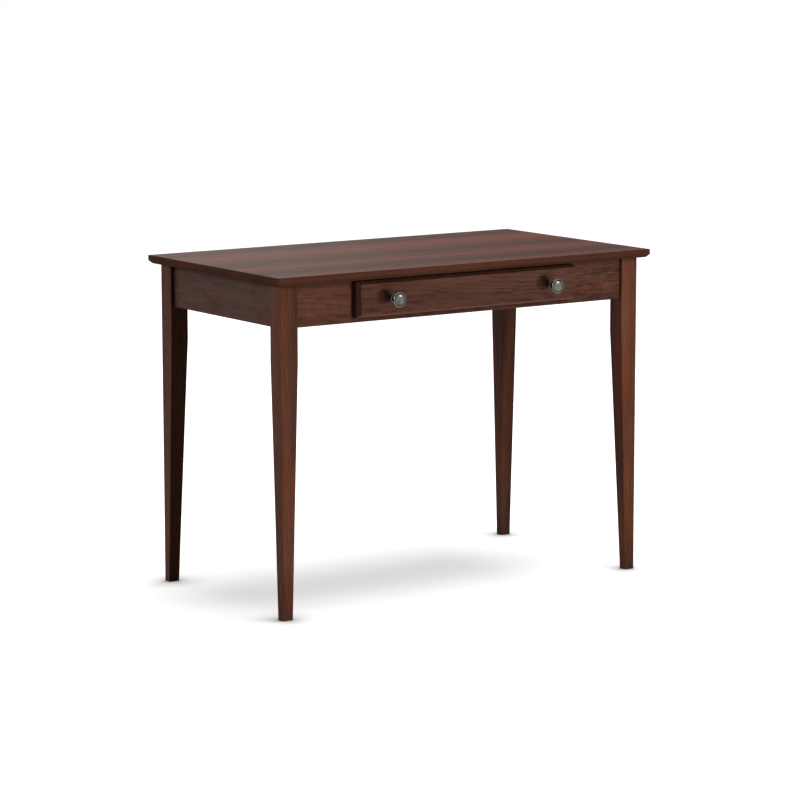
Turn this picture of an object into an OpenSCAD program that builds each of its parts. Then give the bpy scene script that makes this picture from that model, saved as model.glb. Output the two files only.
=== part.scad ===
// Writing desk: an edge-glued top on four tapered legs, with mortised aprons and
// one wide dovetailed drawer on wooden runners. Millimetres, +Z up, front at -Y.

/* [Top] */
// Width of the top
top_w = 1016; // [940:1:1200]
// Depth of the top
top_d = 560; // [520:1:700]
// Thickness of the top
top_t = 19; // [16:0.5:25]
// Height of the top's upper face above the floor
desk_h = 757; // [700:1:800]
// Bevel under the top's four edges, equal in width and height
top_bevel = 7.5; // [3:0.5:9]
// Eased edges of the top, the legs and the aprons
ease = 1.2; // [0.5:0.1:2]

/* [Legs] */
// Thickness of the square part of a leg
leg_t = 44; // [40:0.5:56]
// Size of the foot across the desk's width
foot_x = 26.5; // [20:0.5:36]
// Size of the foot across the desk's depth
foot_y = 20; // [16:0.5:36]
// Straight part of the leg below the aprons, above the taper
straight_drop = 75; // [20:1:150]
// How far the top reaches past the legs at each side
side_overhang = 20; // [10:1:40]
// How far the top reaches past the legs at front and back
front_overhang = 24; // [12:1:40]

/* [Aprons] */
// Height of the aprons
apron_h = 96; // [88:1:120]
// Thickness of the aprons
apron_t = 19; // [17:0.5:22]
// Recess of the apron's face behind the leg's face
apron_inset = 9.5; // [4:0.5:12]
// Thickness of the tenons
tenon_t = 9.5; // [6:0.5:10]
// Longest tenon; a thin leg or a deep recess shortens it
tenon_max = 19; // [12:0.5:22]
// Shoulder above and below each apron tenon
tenon_shoulder = 10; // [6:1:18]
// Height of the rail below the drawer opening
bottom_rail_h = 22; // [18:1:26]
// Height of the rail above the drawer opening
top_rail_h = 18; // [16:1:20]
// Width of the drawer opening
opening_w = 560; // [480:1:620]

/* [Drawer front] */
// Thickness of the drawer front
front_t = 28; // [19:0.5:30]
// How far the drawer front covers the rail below the opening
lap_low = 10; // [6:1:14]
// How far the drawer front covers the rail above the opening
lap_high = 14; // [6:1:14]
// How far the drawer front covers the apron at each side
lap_side = 18; // [8:1:30]
// Width of the drawer front's edge bevel, seen from the front
face_bevel_w = 6; // [2:0.5:10]
// Depth of the drawer front's edge bevel
face_bevel_d = 12; // [4:0.5:16]

/* [Drawer box] */
// Thickness of the drawer box's boards
box_t = 13; // [12:0.5:16]
// Space between the back of the drawer box and the back apron
box_rear_gap = 17; // [8:1:40]
// Space above the drawer box
headroom = 3; // [1.5:0.25:6]
// Play between the drawer box and the guide at each side
side_play = 1; // [0.5:0.25:2]
// Thickness of the drawer's bottom panel
bottom_t = 6; // [4:0.5:6]
// Height of the panel's groove above the box's lower edge
groove_up = 6; // [5:0.5:8]
// Depth of the groove
groove_d = 6; // [4:0.5:8]
// Narrow width of the dovetail pins
pin_w = 5; // [3:0.5:6]
// Run of the dovetails' slope for a rise of one
tail_slope = 6; // [5:0.5:8]

/* [Runners] */
// Width of the runners and kickers
runner_w = 44; // [34:1:60]
// Thickness of the runners
runner_t = 19; // [14:0.5:20]
// Height of the guides above the runners
guide_h = 24; // [12:1:40]
// Thickness of the guides
guide_t = 19; // [12:1:22]

/* [Knobs] */
// Distance from an end of the drawer front to the knob's axis
knob_inset = 82; // [50:1:140]
// Diameter of the knob's head
knob_d = 33.5; // [28:0.5:38]
// Length of the knob
knob_l = 40; // [34:0.5:44]
// Diameter of the knob's collar
collar_d = 20.5; // [16:0.5:24]
// Diameter of the knob's stem
stem_d = 13; // [10:0.5:15]
// Length of the stem between the drawer front and the collar
stem_l = 9.5; // [4:0.5:10]

/* [Screws and buttons] */
// Diameter of the wood screws
screw_d = 3.8; // [3:0.1:4.5]
// Diameter of the knobs' machine screws
bolt_d = 4; // [3:0.1:5]
// Distance from a knob to the nearest screw of the drawer front
front_screw_off = 40; // [20:1:60]
// Width of a tabletop button
button_w = 22; // [16:1:30]
// Length of a tabletop button's block
button_l = 26; // [20:1:34]
// Height of the groove for the buttons
button_slot = 7; // [5:0.5:8]

/* [Hidden] */
$fn = 48;
BOARDS = 6;              // boards in the top
FRONT_TAILS = 3;         // dovetails at the front of a drawer side
BACK_TAILS = 2;          // dovetails at its back
EPS = 0.01;              // overshoot of a cut
BIG = 2000;              // longer than anything in the desk
joint_gap = 0.1;         // play around a glued joint
run_gap = 0.3;           // play between the drawer and its runners
front_gap = 0.3;         // gap between the closed drawer front and the apron
mortise_extra = 1;       // how much deeper a mortise is than its tenon
screw_play = 0.1;        // how much wider a screw's hole is than the screw
head_d = 7.6;            // screw head diameter
head_h = 2.4;            // height of a countersunk head
slot_d = 9;              // depth of the groove for the buttons
tongue_l = 7.5;          // tongue of a button
tongue_play = 0.3;       // play of that tongue in its groove
lug_t = 8;               // tongue at each end of a runner or kicker
lug_l = 6;               // length of that tongue
dovetail_neck = 9;       // width of the top rail's dovetail at the shoulder
dovetail_end = 14;       // and at its end
dovetail_short = 2;      // how much shorter it is than a tenon
screw_in_top = 12;       // how far a screw goes into the top
panel_screw_in = 16;     // how far the bottom panel's screws go into the back
front_screw_in = 17;     // how far the box's screws go into the drawer front
bolt_in_collar = 4;      // how far the knobs' screws go past the stem
bolt_head_h = 2.2;       // height of those screws' heads
knob_foot = 1;           // flare of the knob's stem where it meets the front
knob_edge = 0.8;         // small chamfers of the knob
head_back = 1.5;         // chamfer at the back of the knob's head
neck_h = 3;              // flare between the collar and the head
rim_t = 4;               // thickness of the head's rim
rim_w = 2.6;             // width of the raised ring
ring_w = 1.4;            // width of the groove inside the ring
ring_sink = 1;           // depth of that groove
dome_h = 1.5;            // height of the dome above the ring
DOME_STEPS = 8;          // facets of the dome from its edge to its top

z_under = desk_h - top_t;
z_apron = z_under - apron_h;
z_taper = z_apron - straight_drop;
z_open = z_apron + bottom_rail_h;
open_h = apron_h - bottom_rail_h - top_rail_h;
leg_x = top_w/2 - side_overhang;
leg_y = top_d/2 - front_overhang;
in_x = leg_x - leg_t;
in_y = leg_y - leg_t;
face_x = leg_x - apron_inset;
face_y = leg_y - apron_inset;
tenon_in = apron_inset + (apron_t - tenon_t)/2;
// Two mortises meet in each leg, so their tenons stop short of each other
tenon_l = min(tenon_max, leg_t - tenon_in - tenon_t - mortise_extra - joint_gap);
dovetail_l = tenon_l - dovetail_short;
rail_shoulder = bottom_rail_h/4;
// The buttons' lower faces are level with the kickers'
slot_drop = top_rail_h - button_slot;
board_w = top_d/BOARDS;
front_w = opening_w + 2*lap_side;
front_h = open_h + lap_low + lap_high;
front_z = z_open - lap_low;
front_y = -face_y - front_gap;
box_w = opening_w - 2*side_play;
box_h = open_h - run_gap - headroom;
box_z = z_open + run_gap;
box_l = 2*face_y - apron_t + front_gap - box_rear_gap;
box_back = front_y + box_l;
panel_top = groove_up + bottom_t;
knob_z = front_z + front_h/2;
knob_x = front_w/2 - knob_inset;
bolt_in = stem_l + bolt_in_collar;
knob_tip = face_y + front_gap + front_t + knob_l;
case_y = face_y - apron_t;
guide_x = opening_w/2;
runner_x = guide_x + guide_t - runner_w;
desk_y = max(0, knob_tip - top_d/2)/2;

wood = "#5b3a2e";
dark_wood = "#4d2f26";
maple = "#c9a77a";
zinc = "#b9bcc0";
nickel = "#a9a8a4";

// The desk is drawn around the middle of its top; this moves it so that the
// origin is the bottom centre of the whole, with the knobs.
module placed() { translate([0, desk_y, 0]) children(); }

// A box between two corners
module span(a, b) { translate(a) cube(b - a); }

// Turns a shape drawn for +X into the same one at side -1 or +1
module at_side(side) { mirror([side < 0 ? 1 : 0, 0, 0]) children(); }

// Extrudes a profile drawn in X and Z along Y, from y0 to y1
module along_y(y0, y1) {
  translate([0, y1, 0]) rotate([90, 0, 0]) linear_extrude(y1 - y0) children();
}

// Extrudes a profile drawn in Y and Z along X, from x0 to x1
module along_x(x0, x1) {
  translate([x0, 0, 0]) rotate([90, 0, 90]) linear_extrude(x1 - x0) children();
}

// A countersunk screw with its head's face at z = 0 and its tip at z = length
module wood_screw(length, extra = 0) {
  cylinder(d = screw_d + extra, h = length);
  cylinder(d1 = head_d + extra, d2 = screw_d + extra, h = head_h);
}

// Where the top is screwed down: the front rail's screws between the kickers,
// then the buttons on the side aprons, and on the back apron one in the middle
// and one between each kicker and leg. A button's turn points its tongue out.
rail_screw_places = [for (i = [-1, 0, 1]) [i*(runner_x - button_w), -face_y + apron_t/2]];
button_out = (runner_x + runner_w + in_x)/2;
button_places = concat(
  [for (s = [-1, 1], i = [-1, 1]) [s*(face_x - apron_t), i*in_y/2, s > 0 ? 0 : 180]],
  [for (i = [-1, 0, 1]) [i*button_out, case_y, 90]]);

module rail_screw_cuts(extra) {
  for (p = rail_screw_places)
    translate([p[0], p[1], z_under - top_rail_h])
      wood_screw(top_rail_h + screw_in_top + extra, extra);
}

module button_screw_cuts(extra) {
  for (p = button_places)
    translate([p[0], p[1], z_under - slot_drop - button_slot]) rotate([0, 0, p[2]])
      translate([-button_l/2, 0, 0])
        wood_screw(slot_drop + button_slot + screw_in_top + extra, extra);
}

// The whole top, bevelled under its edges and eased above them and at its corners
module top_slab() {
  intersection() {
    along_x(-BIG, BIG) edge_profile(top_d/2);
    along_y(-BIG, BIG) edge_profile(top_w/2);
    linear_extrude(BIG) eased_rectangle(top_w/2, top_d/2);
  }
}

module edge_profile(half) {
  z_edge = z_under + top_bevel;
  polygon([[-half + top_bevel, z_under], [half - top_bevel, z_under], [half, z_edge],
    [half, desk_h - ease], [half - ease, desk_h], [-half + ease, desk_h],
    [-half, desk_h - ease], [-half, z_edge]]);
}

module eased_rectangle(hx, hy) {
  polygon([[-hx + ease, -hy], [hx - ease, -hy], [hx, -hy + ease], [hx, hy - ease],
    [hx - ease, hy], [-hx + ease, hy], [-hx, hy - ease], [-hx, -hy + ease]]);
}

// Board i of the top, counted from the front
module top_board(i) {
  y0 = -top_d/2 + (i - 1)*board_w;
  color(i % 2 == 0 ? wood : dark_wood) placed() difference() {
    intersection() {
      top_slab();
      span([-BIG, y0, 0], [BIG, y0 + board_w, BIG]);
    }
    rail_screw_cuts(screw_play);
    button_screw_cuts(screw_play);
  }
}

// Dovetail at the right end of the top rail, widened by play for its socket
module rail_dovetail(play) {
  y = -face_y + apron_t/2;
  translate([in_x, y, z_under - top_rail_h - play])
    linear_extrude(top_rail_h + 2*play)
      polygon([[-EPS, -dovetail_neck/2 - play], [dovetail_l + play, -dovetail_end/2 - play],
        [dovetail_l + play, dovetail_end/2 + play], [-EPS, dovetail_neck/2 + play]]);
}

// A mortise for a tenon between heights z0 and z1, in a leg's inner side face
module mortise(z0, z1) {
  span([leg_t - tenon_l - mortise_extra, tenon_in - joint_gap, z0 - joint_gap],
    [leg_t + EPS, tenon_in + tenon_t + joint_gap, z1 + joint_gap]);
}

// Leg with its outer corner on the Z axis, tapered on its two inner faces. Two
// profiles give its faces and two more, on the diagonals, ease its four edges.
module leg_blank() {
  d = 1/sqrt(2);
  intersection() {
    along_y(-BIG, BIG) leg_side(0, 0, foot_x, leg_t);
    along_x(-BIG, BIG) leg_side(0, 0, foot_y, leg_t);
    rotate([0, 0, -45]) along_y(-BIG, BIG)
      leg_side(-(foot_y - ease)*d, -(leg_t - ease)*d, (foot_x - ease)*d, (leg_t - ease)*d);
    rotate([0, 0, 45]) along_y(-BIG, BIG)
      leg_side(ease*d, ease*d, (foot_x + foot_y - ease)*d, (2*leg_t - ease)*d);
  }
}

// Side view of a leg between two lines, each given at the foot and at the top
module leg_side(foot_a, top_a, foot_b, top_b) {
  polygon([[foot_a, 0], [foot_b, 0], [top_b, z_taper], [top_b, z_under],
    [top_a, z_under], [top_a, z_taper]]);
}

// Leg at side sx and end sy (-1 is the front). The left front one is drawn.
module leg(sx, sy) {
  color(wood) placed()
    mirror([sx > 0 ? 1 : 0, 0, 0]) mirror([0, sy > 0 ? 1 : 0, 0])
      difference() {
        translate([-leg_x, -leg_y, 0]) difference() {
          leg_blank();
          // Side apron
          mirror([1, -1, 0]) mortise(z_apron + tenon_shoulder, z_under - tenon_shoulder);
          if (sy > 0)
            mortise(z_apron + tenon_shoulder, z_under - tenon_shoulder);
          if (sy < 0) {
            mortise(z_apron + rail_shoulder, z_open - rail_shoulder);
            mortise(z_open + tenon_shoulder, z_open + open_h - tenon_shoulder);
          }
        }
        if (sy < 0) mirror([1, 0, 0]) rail_dovetail(joint_gap);
      }
}

// A board along X with a tenon at each end; bottom eases its two lower edges
module tenoned_x(x0, x1, y0, z0, z1, shoulder, bottom, left = true, right = true) {
  ty = y0 + (apron_t - tenon_t)/2;
  y1 = y0 + apron_t;
  along_x(x0, x1) polygon([[y0, z1], [y0, z0 + bottom], [y0 + bottom, z0],
    [y1 - bottom, z0], [y1, z0 + bottom], [y1, z1]]);
  if (left) span([x0 - tenon_l, ty, z0 + shoulder], [x0 + EPS, ty + tenon_t, z1 - shoulder]);
  if (right) span([x1 - EPS, ty, z0 + shoulder], [x1 + tenon_l, ty + tenon_t, z1 - shoulder]);
}

// Apron along X with the groove for the buttons on its inner face, centred
module grooved_apron(half, depth) {
  difference() {
    tenoned_x(-half, half, -depth, z_apron, z_under, tenon_shoulder, ease);
    span([-BIG, -depth + apron_t - slot_d, z_under - slot_drop - button_slot],
      [BIG, -depth + apron_t + EPS, z_under - slot_drop]);
  }
}

// Runner, then kicker, of the right-hand side, each as [height of its lower face,
// thickness]. Both have a tongue at each end, in the boards before and behind.
carriers = [[z_open - runner_t, runner_t], [z_under - top_rail_h, top_rail_h]];

module carrier(c, play) {
  lug_z = c[0] + (c[1] - lug_t)/2;
  reach = case_y + lug_l + play;
  span([runner_x + lug_l - play, -reach, lug_z - play],
    [runner_x + runner_w - lug_l + play, reach, lug_z + lug_t + play]);
}

module lug_cuts() {
  for (s = [-1, 1], c = carriers) at_side(s) carrier(c, joint_gap);
}

module side_apron(side) {
  color(wood) placed() at_side(side)
    rotate([0, 0, 90]) grooved_apron(in_y, face_x);
}

module apron_back() {
  color(wood) placed() difference() {
    rotate([0, 0, 180]) grooved_apron(in_x, face_y);
    lug_cuts();
  }
}

module top_rail() {
  color(wood) placed() difference() {
    union() {
      span([-in_x, -face_y, z_under - top_rail_h], [in_x, -face_y + apron_t, z_under]);
      for (s = [-1, 1]) at_side(s) rail_dovetail(0);
    }
    rail_screw_cuts(screw_play);
    lug_cuts();
  }
}

module bottom_rail() {
  color(wood) placed() difference() {
    tenoned_x(-in_x, in_x, -face_y, z_apron, z_open, rail_shoulder, ease);
    lug_cuts();
  }
}

// Board beside the drawer opening, between the two rails
module front_board(side) {
  color(wood) placed() at_side(side)
    tenoned_x(opening_w/2, in_x, -face_y, z_open, z_open + open_h, tenon_shoulder, 0, left = false);
}

// Runner under the drawer's side, or kicker above it
module runner(side, c) {
  color(maple) placed() at_side(side) {
    span([runner_x, -case_y, c[0]], [runner_x + runner_w, case_y, c[0] + c[1]]);
    carrier(c, 0);
  }
}

// Strip on the runner that keeps the drawer straight
module guide(side) {
  color(maple) placed() at_side(side)
    span([guide_x, -case_y, z_open], [guide_x + guide_t, case_y, z_open + guide_h]);
}

// Tabletop button: a block under the top with a tongue in the apron's groove
module top_buttons() {
  h = slot_drop + button_slot;
  color(maple) placed() difference() {
    for (p = button_places) translate([p[0], p[1], z_under - h]) rotate([0, 0, p[2]]) {
      span([-button_l, -button_w/2, 0], [-joint_gap, button_w/2, h]);
      span([-button_l/2, -button_w/2, 0], [tongue_l, button_w/2, button_slot - tongue_play]);
    }
    button_screw_cuts(screw_play);
  }
}

module button_screws() { color(zinc) placed() button_screw_cuts(0); }
module rail_screws() { color(zinc) placed() rail_screw_cuts(0); }

// Overlaid drawer front with all four edges bevelled
module drawer_front() {
  y1 = front_y;
  y0 = front_y - front_t;
  ye = y0 + face_bevel_d;
  x = front_w/2;
  z1 = front_z + front_h;
  b = face_bevel_w;
  color(wood) placed() difference() {
    intersection() {
      along_x(-x, x) polygon([[y1, front_z], [y1, z1], [ye, z1], [y0, z1 - b],
        [y0, front_z + b], [ye, front_z]]);
      translate([0, 0, front_z]) linear_extrude(front_h)
        polygon([[-x, y1], [x, y1], [x, ye], [x - b, y0], [-x + b, y0], [-x, ye]]);
    }
    knob_screw_cuts(screw_play);
    front_screw_cuts(screw_play);
  }
}

// Tails across a drawer side's thickness, from y = 0 out to y = box_t
module tails(z0, height, count, play) {
  pitch = height/count;
  wide = pitch/2 - pin_w/2 + play;
  narrow = wide - box_t/tail_slope;
  for (i = [0 : count - 1]) translate([0, 0, z0 + (i + 0.5)*pitch])
    along_x(-play, box_t + play)
      polygon([[-EPS, -narrow], [box_t + play, -wide], [box_t + play, wide], [-EPS, narrow]]);
}

// Both rows of tails of the right-hand drawer side, in place
module side_tails(play) {
  translate([box_w/2 - box_t, 0, box_z]) {
    translate([0, front_y + box_t, 0]) mirror([0, 1, 0]) tails(0, box_h, FRONT_TAILS, play);
    translate([0, box_back - box_t, 0])
      tails(panel_top, box_h - panel_top, BACK_TAILS, play);
  }
}

// Groove or panel edge: the space of the bottom panel, widened by play
module panel_space(play) {
  span([-box_w/2 + box_t - groove_d - play, front_y + box_t - groove_d - play, box_z + groove_up - play],
    [box_w/2 - box_t + groove_d + play, box_back + 2*play, box_z + panel_top + play]);
}

module box_side(side) {
  color(maple) placed() difference() {
    at_side(side) union() {
      span([box_w/2 - box_t, front_y + box_t, box_z], [box_w/2, box_back - box_t, box_z + box_h]);
      span([box_w/2 - box_t, box_back - box_t - EPS, box_z], [box_w/2, box_back, box_z + panel_top]);
      side_tails(0);
    }
    panel_space(joint_gap);
  }
}

// A board across the drawer box, with sockets for the sides' tails
module box_cross(y0, z0) {
  difference() {
    span([-box_w/2, y0, z0], [box_w/2, y0 + box_t, box_z + box_h]);
    for (s = [-1, 1]) at_side(s) side_tails(joint_gap);
  }
}

module box_front() {
  color(maple) placed() difference() {
    box_cross(front_y, box_z);
    intersection() {
      panel_space(joint_gap);
      span([-box_w/2 + box_t - joint_gap, -BIG, 0], [box_w/2 - box_t + joint_gap, BIG, BIG]);
    }
    knob_screw_cuts(screw_play);
    front_screw_cuts(screw_play);
  }
}

module box_back() {
  color(maple) placed() difference() {
    box_cross(box_back - box_t, box_z + panel_top + joint_gap);
    panel_screw_cuts(screw_play);
  }
}

module box_bottom() {
  color(maple) placed() difference() {
    panel_space(0);
    panel_screw_cuts(screw_play);
  }
}

// Screws up through the bottom panel's rear edge into the back of the box
module panel_screw_cuts(extra) {
  for (s = [-1, 1]) translate([s*box_w/4, box_back - box_t/2, box_z + groove_up])
    wood_screw(bottom_t + panel_screw_in + extra, extra);
}
module panel_screws() { color(zinc) placed() panel_screw_cuts(0); }

// Screws from inside the box into the drawer front
module front_screw_cuts(extra) {
  for (s = [-1, 1], x = [knob_x/3, knob_x - front_screw_off])
    translate([s*x, front_y + box_t, knob_z])
      rotate([90, 0, 0]) wood_screw(box_t + front_screw_in + extra, extra);
}
module front_screws() { color(zinc) placed() front_screw_cuts(0); }

// Machine screws from inside the box, through the front, into the knobs
module knob_screw_cuts(extra) {
  for (s = [-1, 1]) translate([s*knob_x, front_y + box_t, knob_z]) rotate([90, 0, 0]) {
    cylinder(d = bolt_d + extra, h = box_t + front_t + bolt_in + extra);
    if (extra == 0) translate([0, 0, -bolt_head_h]) cylinder(d = 2*bolt_d, h = bolt_head_h + EPS);
  }
}
module knob_screws() { color(zinc) placed() knob_screw_cuts(0); }

// Turned knob: stem, collar, and a round head with a raised rim, a groove and
// a low dome. The profile is drawn from the drawer front outwards.
module knob_profile() {
  r = knob_d/2;
  c = collar_d/2;
  st = stem_d/2;
  z_head = knob_l - rim_t - dome_h;
  z_face = z_head + rim_t;
  z_sink = z_face - ring_sink;
  dome_r = r - rim_w - ring_w;
  stem = [[0, 0], [st + knob_foot, 0], [st, head_back], [st, stem_l]];
  collar = [[c - knob_edge, stem_l], [c, stem_l + knob_edge], [c, z_head - neck_h],
    [c + knob_foot, z_head - knob_foot]];
  head = [[r - head_back, z_head], [r, z_head + head_back], [r, z_face - knob_edge],
    [r - knob_edge, z_face], [r - rim_w, z_face], [r - rim_w, z_sink]];
  dome = [for (i = [0 : DOME_STEPS]) let (a = i*90/DOME_STEPS)
    [dome_r*cos(a), z_sink + (dome_h + ring_sink)*sin(a)]];
  polygon(concat(stem, collar, head, dome));
}

module knob(side) {
  color(nickel) placed() difference() {
    translate([side*knob_x, front_y - front_t, knob_z]) rotate([90, 0, 0])
      rotate_extrude($fn = 64) knob_profile();
    knob_screw_cuts(screw_play);
  }
}

top_board(1);  // top_board_1
top_board(2);  // top_board_2
top_board(3);  // top_board_3
top_board(4);  // top_board_4
top_board(5);  // top_board_5
top_board(6);  // top_board_6
leg(-1, -1);  // leg_front_left
leg(1, -1);  // leg_front_right
leg(-1, 1);  // leg_back_left
leg(1, 1);  // leg_back_right
side_apron(-1);  // apron_left
side_apron(1);  // apron_right
apron_back();
top_rail();
bottom_rail();
front_board(-1);  // front_board_left
front_board(1);  // front_board_right
runner(-1, carriers[0]);  // runner_left
runner(1, carriers[0]);  // runner_right
guide(-1);  // guide_left
guide(1);  // guide_right
runner(-1, carriers[1]);  // kicker_left
runner(1, carriers[1]);  // kicker_right
top_buttons();
button_screws();
rail_screws();
drawer_front();
box_front();
box_side(-1);  // box_side_left
box_side(1);  // box_side_right
box_back();
box_bottom();
panel_screws();
front_screws();
knob(-1);  // knob_left
knob(1);  // knob_right
knob_screws();
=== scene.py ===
"""Writing desk: stained hardwood, a light hardwood drawer box and pewter knobs."""

import math

import bmesh
import bpy
from bpy.props import FloatProperty, FloatVectorProperty, PointerProperty
from mathutils import Matrix, Vector


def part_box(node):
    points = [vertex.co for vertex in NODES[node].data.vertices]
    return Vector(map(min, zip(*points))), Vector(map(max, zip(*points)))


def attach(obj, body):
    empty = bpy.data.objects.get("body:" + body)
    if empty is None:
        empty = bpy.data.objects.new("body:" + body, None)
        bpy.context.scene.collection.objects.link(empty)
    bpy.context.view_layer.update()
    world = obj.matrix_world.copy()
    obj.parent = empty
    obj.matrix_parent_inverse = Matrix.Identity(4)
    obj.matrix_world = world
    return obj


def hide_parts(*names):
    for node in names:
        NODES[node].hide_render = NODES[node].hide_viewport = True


bl_info = {
    "name": "Writing desk",
    "version": (1, 0, 0),
    "blender": (4, 5, 0),
    "location": "View3D > Sidebar > Desk",
    "description": "Dresses the writing desk: wood, knobs, floor, light and camera",
    "category": "Object",
}

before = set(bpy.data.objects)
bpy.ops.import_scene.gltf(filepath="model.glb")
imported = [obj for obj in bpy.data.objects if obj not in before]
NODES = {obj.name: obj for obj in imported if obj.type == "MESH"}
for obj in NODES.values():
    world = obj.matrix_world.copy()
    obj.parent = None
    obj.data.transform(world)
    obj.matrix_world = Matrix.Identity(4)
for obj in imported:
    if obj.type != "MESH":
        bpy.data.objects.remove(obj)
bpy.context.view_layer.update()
MM = 0.001


def linear(hex_colour):
    """Linear RGB of an sRGB hex colour such as #5a382c."""
    parts = [int(hex_colour[i : i + 2], 16) / 255 for i in (1, 3, 5)]
    return tuple(c / 12.92 if c <= 0.04045 else ((c + 0.055) / 1.055) ** 2.4 for c in parts)


def colour(name, description, hex_colour):
    """Property for a colour, whose default is given as sRGB hex."""
    return FloatVectorProperty(
        name=name, description=description, subtype="COLOR", size=3, min=0, max=1,
        default=linear(hex_colour),
    )


def length(name, description, mm):
    """Property for a length, whose default is given in millimetres."""
    return FloatProperty(name=name, description=description, unit="LENGTH", min=0, default=mm * MM)


def power(name, description, watts):
    """Property for the power of a lamp."""
    return FloatProperty(name=name, description=description, unit="POWER", min=0, default=watts)


def across(node, axis):
    """Size of a node along one axis at rest, in millimetres."""
    low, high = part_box(node)
    return (high[axis] - low[axis]) / MM


class DeskWood(bpy.types.PropertyGroup):
    """Colours of the stained and the light hardwood, and the sizes of their pattern"""

    stain_deep: colour("Deep stain", "Late wood and darkest streaks of the stained wood", "#2b1812")
    stain_dark: colour("Dark stain", "Dark bands of the stained hardwood", "#3c241b")
    stain_mid: colour("Stain", "Middle tone of the stained hardwood", "#533325")
    stain_light: colour("Light stain", "Palest bands of the stained hardwood", "#784936")
    light_deep: colour("Light wood lines", "Late wood of the drawer box", "#a87e54")
    light_dark: colour("Light wood streaks", "Darker bands of the drawer box", "#be9568")
    light_mid: colour("Light wood", "Middle tone of the drawer box", "#d4ac7e")
    light_pale: colour("Light wood bands", "Palest bands of the drawer box", "#e4c49a")
    lacquer: colour("Lacquer", "Tint of the gloss of the lacquer", "#ffeffd")
    # Real rings are 1 to 3 mm apart and real fibres thinner than 0.1 mm: both are too
    # fine to show in the render, so they are drawn as coarse as they need to show
    ring: length("Growth ring", "Distance between two growth rings across the grain", 7.0)
    fibre: length("Fibre", "Width of the fine streaks along the grain", 3.2)
    band: length("Band", "Width of the broad tone bands along the grain", 55.0)


class DeskMetal(bpy.types.PropertyGroup):
    """Platings, and the sizes of a knob"""

    pewter: colour("Pewter", "Plating of the knobs", "#64625f")
    tarnish: colour("Tarnish", "Pewter where it is rubbed less", "#454341")
    patina: colour("Patina", "Pewter in the grooves, where nothing rubs it", "#1d1b1a")
    zinc: colour("Zinc", "Plating of the screws", "#b4b7ba")
    knob_diameter: length("Knob diameter", "Diameter of a knob's head", across("knob_left", 0))
    knob_length: length("Knob length", "Projection of a knob from the drawer", across("knob_left", 1))
    collar: length("Collar", "Diameter of the knob's collar", 20.5)
    stem: length("Stem", "Diameter of the knob's stem", 10.0)
    stem_length: length("Stem length", "From the drawer front to the collar", 13.5)


class DeskStage(bpy.types.PropertyGroup):
    """Floor and lamps"""

    floor: colour("Floor", "Colour of the floor", "#ffffff")
    window: colour("Window", "Light from the left, a little cooler than the rest", "#f2f8ff")
    key: power("Key light", "Soft light in front", 82.0)
    low: power("Low light", "Light thrown back by the floor in front", 78.0)
    above: power("Top light", "Light above the desk", 25.0)
    left: power("Left light", "Light at the left", 56.0)
    sheen: power("Sheen light", "Light from behind that glances off the left sides", 32.0)
    back: power("Back light", "Light behind the desk that glances off its top", 48.0)
    right: power("Right light", "Light at the right", 50.0)
    side: power("Side light", "Light that throws the knobs' shadows on the drawer", 192.0)
    bevel: power("Bevel light", "Light on the drawer's left bevel", 78.0)
    knob: power("Knob light", "Light that gives the knobs their highlights", 86.0)
    paper: power("Floor light", "Light that throws the desk's shadow on the floor", 250.0)
    ambient: FloatProperty(
        name="Ambient", description="Strength of the room's even light", subtype="FACTOR",
        min=0, max=1, default=0.045,
    )


def add(tree, kind, settings=None, links=None):
    """Adds a node; settings go by attribute, socket or colour stops, links are socket: output."""
    node = tree.nodes.new("ShaderNode" + kind)
    for key, value in (settings or {}).items():
        if key == "stops":
            elements = node.color_ramp.elements
            while len(elements) < len(value):
                elements.new(0.5)
            for element, (place, rgb) in zip(elements, value):
                element.position, element.color = place, (*rgb, 1)
        elif isinstance(key, int) or key in node.inputs:
            node.inputs[key].default_value = value
        else:
            setattr(node, key, value)
    for key, output in (links or {}).items():
        tree.links.new(output, node.inputs[key])
    return node


def new_material(name):
    """Material with an empty node tree."""
    material = bpy.data.materials.new(name)
    material.use_nodes = True
    tree = material.node_tree
    tree.nodes.clear()
    return material, tree


def finish_material(tree, shader):
    """Shows a shader on the surface."""
    output = add(tree, "OutputMaterial")
    tree.links.new(shader.outputs[0], output.inputs["Surface"])


def grey(value):
    """The same value three times, as a colour or a vector."""
    return (value, value, value)


# Turns of the pattern that lay its grain, drawn along X, along each axis of the desk
GRAIN = {
    "X": (0, 0, 0),
    "Y": (0, 0, math.radians(-90)),
    "Z": (0, math.radians(90), 0),
}

# How a board is cut and finished
# band, curl, fibre and ring: how strongly each part of the pattern moves the tone
# edge: how much darker the long edges are painted, a painted shade
# thin: how much paler the bevels across the grain are painted, a painted light on them
# end: tone of the end grain
# steep: how squarely a surface has to face along the grain to count as end grain
# gloss: specular level of the lacquer
# hue: turn of the stain's hue, with 0.5 for none; on the top it paints the pink tint of the lacquer's
# sheen into the stain, a painted sheen colour
PLAIN = {
    "band": 0.5, "curl": 0.2, "fibre": 0.5, "ring": 0.2, "edge": 0.0, "thin": 0.0,
    "end": 0.45, "steep": 0.4, "gloss": 0.1, "hue": 0.5,
}
CURLY = {**PLAIN, "band": 0.35, "curl": 0.75, "fibre": 0.4, "ring": 0.18, "end": 0.55}
FLAMED = {**CURLY, "band": 1.0, "curl": 1.1, "fibre": 0.5, "ring": 0.3}
ARCHED = {**PLAIN, "band": 0.4, "curl": 0.3, "fibre": 0.38, "ring": 0.28, "end": 0.5}
# The drawer front's bevels across the grain are painted paler, a painted light, and its steep end
# faces nearly black, partly end grain and partly painted shade
BEVELLED = {**ARCHED, "end": 0.2, "steep": 0.92, "thin": 0.4}
STRAIGHT = {**PLAIN, "band": 1.3, "curl": 0.15, "fibre": 0.6, "ring": 0.18}
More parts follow.
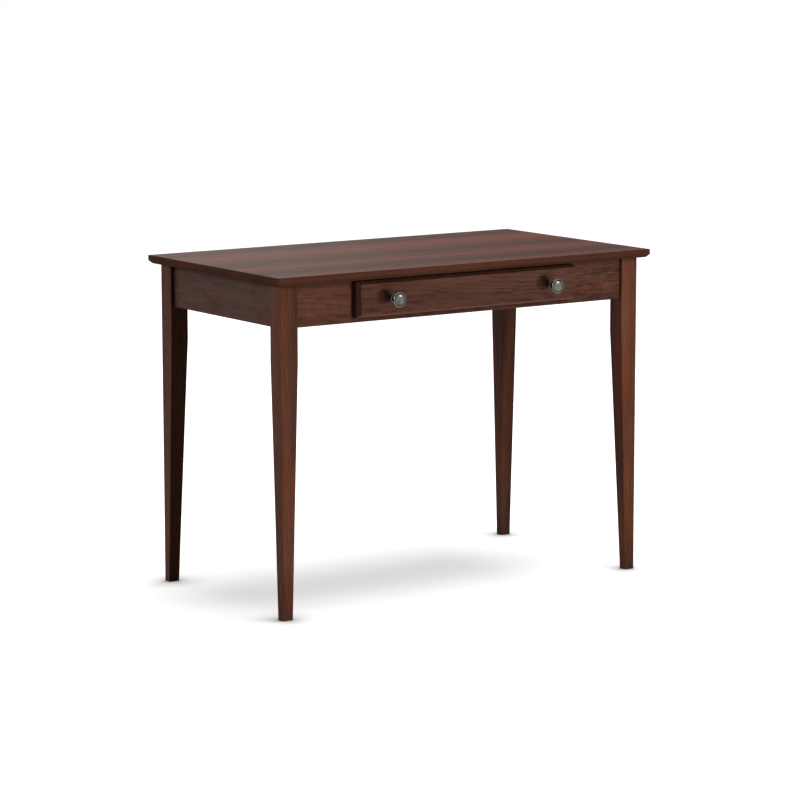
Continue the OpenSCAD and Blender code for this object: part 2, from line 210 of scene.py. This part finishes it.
# The top's turn of hue paints the pink of its sheen into the stain
LONG = {
    **PLAIN, "curl": 0.06, "fibre": 0.22, "ring": 0.07, "edge": 0.42, "end": 0.42,
    "gloss": 0.048, "hue": 0.494,
}

# Height over which a leg is painted darker towards its foot, a painted shade, and by how much its
# tone falls
FOOT = 120 * MM
FOOT_PAINTED_SHADE = 0.22
# Distance that a growth ring moves outwards for each unit along the tree
CONE = 0.05


def clouds(tree, board, along, over, detail=2.0, seed=0.0):
    """Noise with clouds of one size along the grain and another across it."""
    scaled = add(
        tree, "Mapping",
        {"Location": grey(seed), "Scale": (1 / along, 1 / over, 1 / over)}, {"Vector": board},
    ).outputs["Vector"]
    return add(
        tree, "TexNoise", {"Scale": 1.0, "Detail": detail, "Roughness": 0.55}, {"Vector": scaled}
    ).outputs


def late_wood(tree, board, ring):
    """Lines of late wood: up to 1 at the end of each growth ring, near 0 between.

    The rings are cones round a pith along the board, bent by slow clouds and shaken
    by quick ones, so that a flat-sawn face shows long, wavy arches.
    """
    bent = board
    slow = clouds(tree, board, 350 * MM, 90 * MM)
    quick = clouds(tree, board, 45 * MM, 16 * MM, seed=29.0)
    for noise, width in ((slow, 50 * MM), (quick, 7 * MM)):
        bent = add(
            tree, "VectorMath", {"operation": "MULTIPLY_ADD", 1: (0.0, width, width)},
            {0: noise["Color"], 2: bent},
        ).outputs["Vector"]
    parts = add(tree, "SeparateXYZ", links={"Vector": bent}).outputs
    section = add(tree, "CombineXYZ", links={"Y": parts["Y"], "Z": parts["Z"]}).outputs["Vector"]
    radius = add(tree, "VectorMath", {"operation": "LENGTH"}, {0: section}).outputs["Value"]
    radius = add(
        tree, "Math", {"operation": "MULTIPLY_ADD", 1: CONE}, {0: parts["X"], 2: radius}
    ).outputs["Value"]
    turns = add(tree, "Math", {"operation": "DIVIDE", 1: ring}, {0: radius}).outputs["Value"]
    phase = add(tree, "Math", {"operation": "FRACT"}, {0: turns}).outputs["Value"]
    late = add(
        tree, "ValToRGB",
        {"stops": [(0.0, grey(0.1)), (0.45, grey(0.2)), (0.78, grey(1.0)), (0.98, grey(0.1))]},
        {"Fac": phase},
    ).outputs["Color"]
    # The late wood is stronger in some years and places than in others
    patchy = add(
        tree, "MapRange", {"From Min": 0.35, "From Max": 0.6},
        {"Value": clouds(tree, board, 80 * MM, 20 * MM, seed=3.0)["Fac"]},
    ).outputs["Result"]
    return add(tree, "Math", {"operation": "MULTIPLY"}, {0: late, 1: patchy}).outputs["Value"]


def facing(tree, turned, axis, low=0.4, high=0.7):
    """1 where the surface faces along an axis of the board, 0 where it doesn't."""
    part = add(tree, "SeparateXYZ", links={"Vector": turned}).outputs[axis]
    size = add(tree, "Math", {"operation": "ABSOLUTE"}, {0: part}).outputs["Value"]
    return add(
        tree, "MapRange", {"From Min": low, "From Max": high}, {"Value": size}
    ).outputs["Result"]


def board_tone(tree, object_space, sizes, tones, parts):
    """Runs from the tone of one side of the board to that of the other, moved by its pattern.

    parts holds each part of the pattern, the value of it that leaves the tone as it is,
    and its weight.
    """
    low, high = sizes["sides"]
    sides = add(tree, "SeparateXYZ", links={"Vector": object_space}).outputs[sizes["over"]]
    shift = sum(middle * weight for _, middle, weight in parts)
    tone = add(
        tree, "MapRange",
        {"From Min": low, "From Max": high, "To Min": tones[0] - shift, "To Max": tones[1] - shift},
        {"Value": sides},
    ).outputs["Result"]
    for part, _, weight in parts:
        tone = add(
            tree, "Math", {"operation": "MULTIPLY_ADD", 1: weight}, {0: part, 2: tone}
        ).outputs["Value"]
    return tone


def wood(name, grain, place, colours, sizes, tones, cut, red=1.0):
    """Close-grained hardwood such as maple, stained, sanded and finished in dull lacquer.

    To the eye: soft tone bands along the grain, fine streaks, narrow late-wood lines
    that arch on a flat-sawn face, and cloudy curl across them. place moves the
    pattern, so each board is cut from another part of the tree. tones are the
    middle tone at the two sides of the board across its grain, or at the foot of a
    leg and above it, where the darker foot is painted shade. red is the strength of
    its colour.
    """
    props = bpy.context.scene.desk_wood
    material, tree = new_material(name)
    spaces = add(tree, "TexCoord").outputs
    board = add(
        tree, "Mapping", {"Location": place, "Rotation": GRAIN[grain]},
        {"Vector": spaces["Object"]},
    ).outputs["Vector"]
    # Where the surface looks, turned like the board
    turned = add(
        tree, "Mapping", {"vector_type": "VECTOR", "Rotation": GRAIN[grain]},
        {"Vector": spaces["Normal"]},
    ).outputs["Vector"]

    # Broad bands, the shimmer of curly grain, fine streaks and growth rings, with painted shade on
    # the long edges and painted light on the bevels across the grain
    band = clouds(tree, board, 900 * MM, sizes["band"], seed=7.0)["Fac"]
    curl = clouds(tree, board, 28 * MM, 9 * MM, 3.0, seed=11.0)["Fac"]
    fibre = clouds(tree, board, 100 * MM, sizes["fibre"], 3.0, seed=17.0)["Fac"]
    lines = late_wood(tree, board, sizes["ring"])
    tone = board_tone(tree, spaces["Object"], sizes, tones, (
        (band, 0.5, cut["band"]), (curl, 0.5, cut["curl"]), (fibre, 0.5, cut["fibre"]),
        (lines, 0, -cut["ring"]), (facing(tree, turned, "Y"), 0, -cut["edge"]),
        (facing(tree, turned, "X"), 0, cut["thin"]),
    ))
    # End grain drinks its fill of stain, so it keeps little of the pattern and shines less; the
    # drawer front's steep end faces are painted darker still, a painted shade
    end = facing(tree, turned, "X", cut["steep"], cut["steep"] + 0.05)
    blunt = add(tree, "Math", {"operation": "MULTIPLY", 1: 0.85}, {0: end}).outputs["Value"]
    tone = add(
        tree, "Mix", {"data_type": "FLOAT", 3: cut["end"]}, {0: blunt, 2: tone}
    ).outputs["Result"]
    base = add(
        tree, "ValToRGB", {"stops": list(zip((0.0, 0.28, 0.5, 1.0), colours))}, {"Fac": tone}
    ).outputs["Color"]
    # The stain takes greyer in some streaks and redder in others
    redness = add(
        tree, "MapRange",
        {"From Min": 0.3, "From Max": 0.7, "To Min": 0.93 * red, "To Max": 1.06 * red},
        {"Value": clouds(tree, board, 160 * MM, 22 * MM, seed=23.0)["Fac"]},
    ).outputs["Result"]
    base = add(
        tree, "HueSaturation", {"Hue": cut["hue"]}, {"Color": base, "Saturation": redness}
    ).outputs["Color"]

    # Sanded and lacquered: the pores stay a little duller and lower than the rest
    dull = add(
        tree, "MapRange", {"To Min": 0.78, "To Max": 0.62}, {"Value": fibre}
    ).outputs["Result"]
    dull = add(
        tree, "Math", {"operation": "MULTIPLY_ADD", 1: 0.2}, {0: end, 2: dull}
    ).outputs["Value"]
    pores = add(
        tree, "Bump", {"Strength": 0.1, "Distance": 0.3 * MM}, {"Height": fibre}
    ).outputs["Normal"]
    shader = add(
        tree, "BsdfPrincipled",
        {"IOR": 1.5, "Specular IOR Level": cut["gloss"], "Specular Tint": (*props.lacquer, 1)},
        {"Base Color": base, "Roughness": dull, "Normal": pores},
    )
    finish_material(tree, shader)
    return material


def plated(name, plate, dull, roughness, patina=None):
    """Zinc casting or steel under a plated skin: even, with the faint clouds of a satin finish.

    The clouds are as wide as the eye sees them on a knob's head. patina is the colour
    where the attribute rubbed is 0.
    """
    material, tree = new_material(name)
    object_space = add(tree, "TexCoord").outputs["Object"]
    cloud = add(
        tree, "TexNoise", {"Scale": 1 / (11.8 * MM), "Detail": 1.0}, {"Vector": object_space}
    ).outputs["Fac"]
    base = add(
        tree, "ValToRGB", {"stops": [(0.2, tuple(dull)), (0.5, tuple(plate))]}, {"Fac": cloud}
    ).outputs["Color"]
    if patina:
        rubbed = add(tree, "Attribute", {"attribute_name": "rubbed"}).outputs["Fac"]
        base = add(
            tree, "Mix", {"data_type": "RGBA", 6: (*patina, 1)}, {0: rubbed, 7: base}
        ).outputs[2]
    rough = add(
        tree, "MapRange", {"To Min": roughness + 0.08, "To Max": roughness - 0.05}, {"Value": cloud}
    ).outputs["Result"]
    shader = add(
        tree, "BsdfPrincipled", {"Metallic": 1.0}, {"Base Color": base, "Roughness": rough}
    )
    finish_material(tree, shader)
    return material


def dress(node, material):
    """Gives a CAD node its material."""
    mesh = NODES[node].data
    mesh.materials.clear()
    mesh.materials.append(material)


def sizes_for(node, grain, props):
    """Pattern sizes, and the two sides of the node across its grain, or a leg's foot."""
    over = {"X": "Y", "Y": "X", "Z": "Z"}[grain]
    low, high = (corner["XYZ".index(over)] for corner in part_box(node))
    if over == "Z":
        high = low + FOOT
    return {
        "ring": props.ring, "band": props.band, "fibre": props.fibre,
        "over": over, "sides": (low, high),
    }


def stained(node, grain, place, tones, cut, red=1.0):
    """Dresses a node in its own board of the stained hardwood."""
    props = bpy.context.scene.desk_wood
    stains = (props.stain_deep, props.stain_dark, props.stain_mid, props.stain_light)
    colours, sizes = [tuple(stain) for stain in stains], sizes_for(node, grain, props)
    name = "stained_hardwood_" + node
    dress(node, wood(name, grain, place, colours, sizes, tones, cut, red))


def light_wood(node, grain, place):
    """Dresses a node in its own board of the light hardwood.

    It is maple or birch without a stain under a clear finish: pale, with soft lines.
    """
    props = bpy.context.scene.desk_wood
    shades = (props.light_deep, props.light_dark, props.light_mid, props.light_pale)
    colours, sizes = [tuple(shade) for shade in shades], sizes_for(node, grain, props)
    name = "light_hardwood_" + node
    dress(node, wood(name, grain, place, colours, sizes, (0.55, 0.55), PLAIN))


class DESK_OT_top(bpy.types.Operator):
    """Dresses the six boards of the top, each with its own grain and tone"""

    bl_idname = "desk.top"
    bl_label = "Top"
    bl_options = {"REGISTER", "UNDO"}

    def execute(self, context):
        # Tone at the front and the back edge of each board, from the front of the desk
        tones = ((0.9, 0.34), (0.4, 0.96), (0.8, 0.38), (0.5, 0.82), (1.0, 0.84), (0.46, 0.5))
        for number, pair in enumerate(tones, 1):
            place = (0.83 * number, 0.11 * number, 0.013 * number - 0.79)
            stained(f"top_board_{number}", "X", place, pair, LONG)
        return {"FINISHED"}


class DESK_OT_legs(bpy.types.Operator):
    """Dresses the four legs, with the grain upright and painted shade that darkens them towards the
    foot
    """

    bl_idname = "desk.legs"
    bl_label = "Legs"
    bl_options = {"REGISTER", "UNDO"}

    def execute(self, context):
        # Where each leg is cut from the tree, and its tone above the foot
        legs = {
            "leg_front_left": ((0.4, 0.46, 0.05), 0.57),
            "leg_front_right": ((1.7, -0.42, 0.08), 0.66),
            "leg_back_left": ((2.9, 0.37, -0.2), 0.4),
            "leg_back_right": ((4.1, -0.55, -0.16), 0.4),
        }
        for node, (place, tone) in legs.items():
            stained(node, "Z", place, (tone - FOOT_PAINTED_SHADE, tone), STRAIGHT, red=1.06)
        return {"FINISHED"}


class DESK_OT_aprons(bpy.types.Operator):
    """Dresses the aprons and the strips that frame the drawer"""

    bl_idname = "desk.aprons"
    bl_label = "Aprons"
    bl_options = {"REGISTER", "UNDO"}

    def execute(self, context):
        # The front is glued up from one board, so its grain runs through all its strips; the bottom
        # rail's lower tone is painted shade, the shadow of the drawer front's lip above it
        strips = {
            "top_rail": (0.63, CURLY), "bottom_rail": (0.5, CURLY),
            "front_board_left": (0.64, CURLY), "front_board_right": (0.65, FLAMED),
        }
        for node, (tone, cut) in strips.items():
            stained(node, "X", (0.7, 0.3, -0.62), (tone, tone), cut)
        # The left apron is painted less red, a painted grey sheen along the desk's left side
        stained("apron_left", "Y", (0.2, 0.54, -0.63), (0.5, 0.5), PLAIN, red=0.92)
        stained("apron_right", "Y", (1.9, -0.4, -0.6), (0.5, 0.5), ARCHED)
        stained("apron_back", "X", (3.3, -0.2, -0.64), (0.5, 0.5), PLAIN)
        return {"FINISHED"}


class DESK_OT_drawer_front(bpy.types.Operator):
    """Dresses the drawer front, whose face shows the widest arches of the grain"""

    bl_idname = "desk.drawer_front"
    bl_label = "Drawer front"
    bl_options = {"REGISTER", "UNDO"}

    def execute(self, context):
        stained("drawer_front", "X", (1.35, 0.33, -0.66), (0.55, 0.55), BEVELLED)
        return {"FINISHED"}


class DESK_OT_drawer_box(bpy.types.Operator):
    """Dresses the drawer's box in light hardwood"""

    bl_idname = "desk.drawer_box"
    bl_label = "Drawer box"
    bl_options = {"REGISTER", "UNDO"}

    def execute(self, context):
        grains = {
            "box_front": "X", "box_back": "X", "box_bottom": "X",
            "box_side_left": "Y", "box_side_right": "Y",
        }
        for number, (node, grain) in enumerate(grains.items()):
            light_wood(node, grain, (0.9 * number, 0.17 * number, -0.6))
        return {"FINISHED"}


class DESK_OT_runners(bpy.types.Operator):
    """Dresses the runners, guides and kickers, and the buttons under the top"""

    bl_idname = "desk.runners"
    bl_label = "Runners"
    bl_options = {"REGISTER", "UNDO"}

    def execute(self, context):
        nodes = ("runner", "guide", "kicker")
        for number, node in enumerate(f"{n}_{side}" for n in nodes for side in ("left", "right")):
            light_wood(node, "Y", (0.7 * number, 0.19 * number, -0.55))
        light_wood("top_buttons", "X", (0.4, 0.2, -0.5))
        return {"FINISHED"}


class DESK_OT_knobs(bpy.types.Operator):
    """Turns the two knobs and plates them in antique pewter"""

    bl_idname = "desk.knobs"
    bl_label = "Knobs"
    bl_options = {"REGISTER", "UNDO"}

    def execute(self, context):
        props = context.scene.desk_metal
        material = knob_plating(props)
        for side in ("left", "right"):
            node = "knob_" + side
            low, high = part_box(node)
            centre = (low + high) / 2
            knob = turned_knob("pewter_knob_" + side, props)
            knob.data.transform(Matrix.Translation((centre.x, high.y, centre.z)))
            knob.data.materials.append(material)
            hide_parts(node)
            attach(knob, "drawer")
        return {"FINISHED"}


def knob_plating(props):
    """Antique pewter plating over zinc: grey, satin, and nearly black where it isn't rubbed."""
    return plated("antique_pewter", props.pewter, props.tarnish, 0.3, props.patina)


def turned_knob(name, props):
    """Knob along -Y, with its foot at the origin: the profile is spun round its axis."""
    r, c, s = (size / 2 / MM for size in (props.knob_diameter, props.collar, props.stem))
    end, neck = props.knob_length / MM, props.stem_length / MM
    # Radius and distance from the drawer in millimetres, and how much hands and cloths
    # rub the plating bright. First the stem, then the collar, then the head
    profile = [
        (0, 0, 0), (s + 1, 0, 0), (s, 1.5, 0.3), (s, neck, 0.5), (c - 0.8, neck, 0.5),
        (c, neck + 1, 1), (c, neck + 4, 1), (c - 1.2, neck + 5.2, 0.3), (c - 1.2, end - 10, 0),
        (c, end - 9, 0.2), (c + 0.5, end - 7, 0.5), (r - 1.6, end - 5.6, 0.9),
        (r, end - 4, 1), (r, end - 2.7, 1), (r - 0.9, end - 1.5, 1), (r - 2.6, end - 1.4, 0.9),
        (r - 3.1, end - 2.5, 0.4), (r - 4, end - 3, 0.4), (r - 4.6, end - 2.2, 0.6),
        (r - 6.2, end - 1.1, 1), (0.35 * r, end - 0.2, 1), (0, end, 1),
    ]
    mesh = bpy.data.meshes.new(name)
    shape = bmesh.new()
    rubbed = shape.verts.layers.float.new("rubbed")
    points = []
    for radius, along, wear in profile:
        point = shape.verts.new((radius * MM, -along * MM, 0))
        point[rubbed] = wear
        points.append(point)
    edges = [shape.edges.new(pair) for pair in zip(points, points[1:])]
    bmesh.ops.spin(
        shape, geom=points + edges, cent=(0, 0, 0), axis=(0, 1, 0), dvec=(0, 0, 0),
        angle=math.tau, steps=72, use_merge=True, use_duplicate=False,
    )
    bmesh.ops.remove_doubles(shape, verts=shape.verts, dist=0.001 * MM)
    bmesh.ops.recalc_face_normals(shape, faces=shape.faces)
    shape.to_mesh(mesh)
    shape.free()
    mesh.shade_smooth()
    mesh.set_sharp_from_angle(angle=math.radians(38))
    knob = bpy.data.objects.new(name, mesh)
    bpy.context.scene.collection.objects.link(knob)
    return knob


class DESK_OT_fixings(bpy.types.Operator):
    """Plates the screws in zinc"""

    bl_idname = "desk.fixings"
    bl_label = "Screws"
    bl_options = {"REGISTER", "UNDO"}

    def execute(self, context):
        zinc = context.scene.desk_metal.zinc
        material = plated("bright_zinc_plate", zinc, [0.7 * c for c in zinc], 0.28)
        for node in NODES:
            if node.endswith("_screws"):
                dress(node, material)
        return {"FINISHED"}


# What the lamps look at, and how far they are from it, in metres
LIT_POINT = Vector((0, 0, 0.5))
LAMP_DISTANCE = 4.5


def soft_light(name, watts, azimuth, elevation, size, tint=(1, 1, 1)):
    """Square soft box that looks at the desk; azimuth is in degrees from its front to its right."""
    turn, rise = math.radians(azimuth), math.radians(elevation)
    away = Vector((math.sin(turn) * math.cos(rise), -math.cos(turn) * math.cos(rise), math.sin(rise)))
    light = bpy.data.lights.new(name, "AREA")
    light.shape, light.size, light.energy, light.color = "SQUARE", size, watts, tint
    lamp = bpy.data.objects.new(name, light)
    lamp.location = LIT_POINT + LAMP_DISTANCE * away
    lamp.rotation_euler = away.to_track_quat("Z", "Y").to_euler()
    bpy.context.scene.collection.objects.link(lamp)
    return lamp


def link_light(lamp, role, state, things):
    """Ties a lamp to these things alone (INCLUDE), or to everything but them (EXCLUDE).

    role is receiver for the things that it lights, and blocker for those that stop its light.
    """
    linked = bpy.data.collections.new(f"{lamp.name}_{role}")
    for number, thing in enumerate(things):
        linked.objects.link(thing)
        linked.collection_objects[number].light_linking.link_state = state
    setattr(lamp.light_linking, role + "_collection", linked)


def seen_directly(tree):
    """1 where the camera, a reflection or a refraction looks, 0 for the light itself."""
    path = add(tree, "LightPath").outputs
    first = add(
        tree, "Math", {"operation": "MAXIMUM"}, {0: path["Is Camera Ray"], 1: path["Is Glossy Ray"]}
    ).outputs["Value"]
    return add(
        tree, "Math", {"operation": "MAXIMUM"}, {0: first, 1: path["Is Transmission Ray"]}
    ).outputs["Value"]


def white_paper(props):
    """Matt white paper: plain white to the eye, with the desk's shadow on it.

    Part of what the camera sees of it glows, so it stays white in plain light, and the
    rest is lit. It glows more away from the desk, where the lamp fades: from 0.7 m to 3 m.
    """
    material, tree = new_material("white_paper_floor")
    place = add(tree, "TexCoord").outputs["Object"]
    distance = add(tree, "VectorMath", {"operation": "LENGTH"}, {0: place}).outputs["Value"]
    strength = add(
        tree, "MapRange", {"From Min": 0.7, "From Max": 3.0, "To Min": 0.66, "To Max": 1.0},
        {"Value": distance},
    ).outputs["Result"]
    # Where the feet touch the floor, ambient occlusion darkens its glow and its colour: a painted
    # contact shadow
    near = add(tree, "AmbientOcclusion", {"samples": 16, "Distance": 80 * MM}).outputs["AO"]
    painted_contact_shadow = add(tree, "Math", {"operation": "POWER", 1: 2.0}, {0: near}).outputs["Value"]
    strength = add(
        tree, "Math", {"operation": "MULTIPLY"}, {0: strength, 1: painted_contact_shadow}
    ).outputs["Value"]
    shade = add(tree, "CombineColor", links={"Red": painted_contact_shadow, "Green": painted_contact_shadow, "Blue": painted_contact_shadow})
    lit = add(tree, "BsdfDiffuse", links={"Color": shade.outputs["Color"]})
    glow = add(tree, "Emission", {"Color": (*props.floor, 1)}, {"Strength": strength})
    shown = add(tree, "AddShader", links={0: lit.outputs[0], 1: glow.outputs[0]})
    # The light that it throws back on the desk is kept low, because the lamps stand for it
    paper = add(tree, "BsdfDiffuse", {"Color": (*grey(0.15), 1)})
    mix = add(
        tree, "MixShader",
        links={0: seen_directly(tree), 1: paper.outputs[0], 2: shown.outputs[0]},
    )
    finish_material(tree, mix)
    return material


class DESK_OT_stage(bpy.types.Operator):
    """Lays the floor and sets up the light and the camera"""

    bl_idname = "desk.stage"
    bl_label = "Stage"
    bl_options = {"REGISTER", "UNDO"}

    def execute(self, context):
        scene, props = context.scene, context.scene.desk_stage
        scene.view_settings.view_transform = "Standard"
        floor = self.floor(props)
        self.room(scene, props)
        self.lamps(props, floor)
        self.camera(scene)
        return {"FINISHED"}

    def lamps(self, props, floor):
        """Seven soft lamps for the whole desk, and four that light one thing each."""
        behind, drawer = NODES["leg_back_left"], NODES["drawer_front"]
        knobs = [bpy.data.objects["pewter_knob_" + side] for side in ("left", "right")]
        plain, cool = (1, 1, 1), props.window
        # Azimuths and elevations are in degrees, sizes in metres. The front of the back left
        # leg lies in the dark in the photograph, the drawer's top bevel too, and the knobs
        # shine at the top alone, so these are left out of some lamps
        for name, watts, azimuth, elevation, size, tint, dark in (
            ("key_light", props.key, 4, 28, 1.8, plain, [behind, drawer, *knobs]),
            ("low_light", props.low, 8, -14, 1.8, plain, [behind, *knobs]),
            ("top_light", props.above, 0, 90, 1.8, plain, []),
            ("left_light", props.left, -94, 26, 0.5, cool, []),
            ("sheen_light", props.sheen, -135, -4, 1.8, cool, []),
            ("back_light", props.back, 160, 20, 1.8, plain, []),
            ("right_light", props.right, 105, 12, 1.8, plain, []),
        ):
            lamp = soft_light(name, watts, azimuth, elevation, size, tint)
            link_light(lamp, "receiver", "EXCLUDE", [floor, *dark])
            link_light(lamp, "blocker", "EXCLUDE", [floor])
        # For the knobs' shadows on the drawer, its left bevel, the knobs' highlights, and
        # the desk's shadow on the floor
        for name, watts, azimuth, elevation, size, things in (
            ("side_light", props.side, 24, -7, 0.6, [drawer]),
            ("bevel_light", props.bevel, -40, -12, 1.0, [drawer]),
            ("knob_light", props.knob, 34, 26, 1.4, knobs),
            ("floor_light", props.paper, 81, 81, 3.4, [floor]),
        ):
            lamp = soft_light(name, watts, azimuth, elevation, size)
            link_light(lamp, "receiver", "INCLUDE", things)

    def floor(self, props):
        """White paper that carries the desk's shadow."""
        mesh = bpy.data.meshes.new("floor")
        shape = bmesh.new()
        half_width = 30.0
        bmesh.ops.create_grid(shape, x_segments=1, y_segments=1, size=half_width)
        shape.to_mesh(mesh)
        shape.free()
        floor = bpy.data.objects.new("floor", mesh)
        bpy.context.scene.collection.objects.link(floor)
        mesh.materials.append(white_paper(props))
        return floor

    def room(self, scene, props):
        """White room, seen as white but lighting the desk only a little."""
        world = bpy.data.worlds.new("white_room")
        world.use_nodes = True
        tree = world.node_tree
        tree.nodes.clear()
        seen = add(tree, "Background", {"Color": (1, 1, 1, 1), "Strength": 1.0})
        lighting = add(tree, "Background", {"Color": (1, 1, 1, 1), "Strength": props.ambient})
        mix = add(
            tree, "MixShader",
            links={0: seen_directly(tree), 1: lighting.outputs[0], 2: seen.outputs[0]},
        )
        output = add(tree, "OutputWorld")
        tree.links.new(mix.outputs[0], output.inputs["Surface"])
        scene.world = world

    def camera(self, scene):
        """Long lens 1.54 m above the floor, turned from the desk's front and tilted down."""
        data = bpy.data.cameras.new("camera")
        data.sensor_width, data.lens = 36.0, 139.70
        data.clip_start, data.clip_end = 0.1, 100.0
        yaw, pitch, roll = math.radians(34.302), math.radians(-9.03), math.radians(-0.073)
        ahead = Vector(
            (math.sin(yaw) * math.cos(pitch), math.cos(yaw) * math.cos(pitch), math.sin(pitch))
        )
        right = Vector((math.cos(yaw), -math.sin(yaw), 0))
        up = right.cross(ahead)
        turned_right = right * math.cos(roll) + up * math.sin(roll)
        turned_up = up * math.cos(roll) - right * math.sin(roll)
        turn = Matrix((turned_right, turned_up, -ahead)).transposed()
        camera = bpy.data.objects.new("camera", data)
        stand = Matrix.Translation((-4.0042, -5.8472, 1.5408))
        camera.matrix_world = stand @ turn.to_4x4()
        scene.collection.objects.link(camera)
        scene.camera = camera


GROUPS = {"desk_wood": DeskWood, "desk_metal": DeskMetal, "desk_stage": DeskStage}
OPERATORS = (
    DESK_OT_top, DESK_OT_legs, DESK_OT_aprons, DESK_OT_drawer_front, DESK_OT_drawer_box,
    DESK_OT_runners, DESK_OT_knobs, DESK_OT_fixings, DESK_OT_stage,
)


class DESK_PT_panel(bpy.types.Panel):
    """Lists the operators, and the sizes and colours that they use"""

    bl_idname = "DESK_PT_panel"
    bl_label = "Writing desk"
    bl_space_type = "VIEW_3D"
    bl_region_type = "UI"
    bl_category = "Desk"

    def draw(self, context):
        for operator in OPERATORS:
            self.layout.operator(operator.bl_idname)
        for key, group in GROUPS.items():
            for name in group.__annotations__:
                self.layout.prop(getattr(context.scene, key), name)


def register():
    for group in GROUPS.values():
        bpy.utils.register_class(group)
    for name, group in GROUPS.items():
        setattr(bpy.types.Scene, name, PointerProperty(type=group))
    for operator in OPERATORS:
        bpy.utils.register_class(operator)
    bpy.utils.register_class(DESK_PT_panel)


def unregister():
    bpy.utils.unregister_class(DESK_PT_panel)
    for operator in reversed(OPERATORS):
        bpy.utils.unregister_class(operator)
    for name in GROUPS:
        delattr(bpy.types.Scene, name)
    for group in reversed(list(GROUPS.values())):
        bpy.utils.unregister_class(group)


def main():
    register()
    bpy.ops.desk.top()
    bpy.ops.desk.legs()
    bpy.ops.desk.aprons()
    bpy.ops.desk.drawer_front()
    bpy.ops.desk.drawer_box()
    bpy.ops.desk.runners()
    bpy.ops.desk.knobs()
    bpy.ops.desk.fixings()
    bpy.ops.desk.stage()


if __name__ == "__main__":
    main()
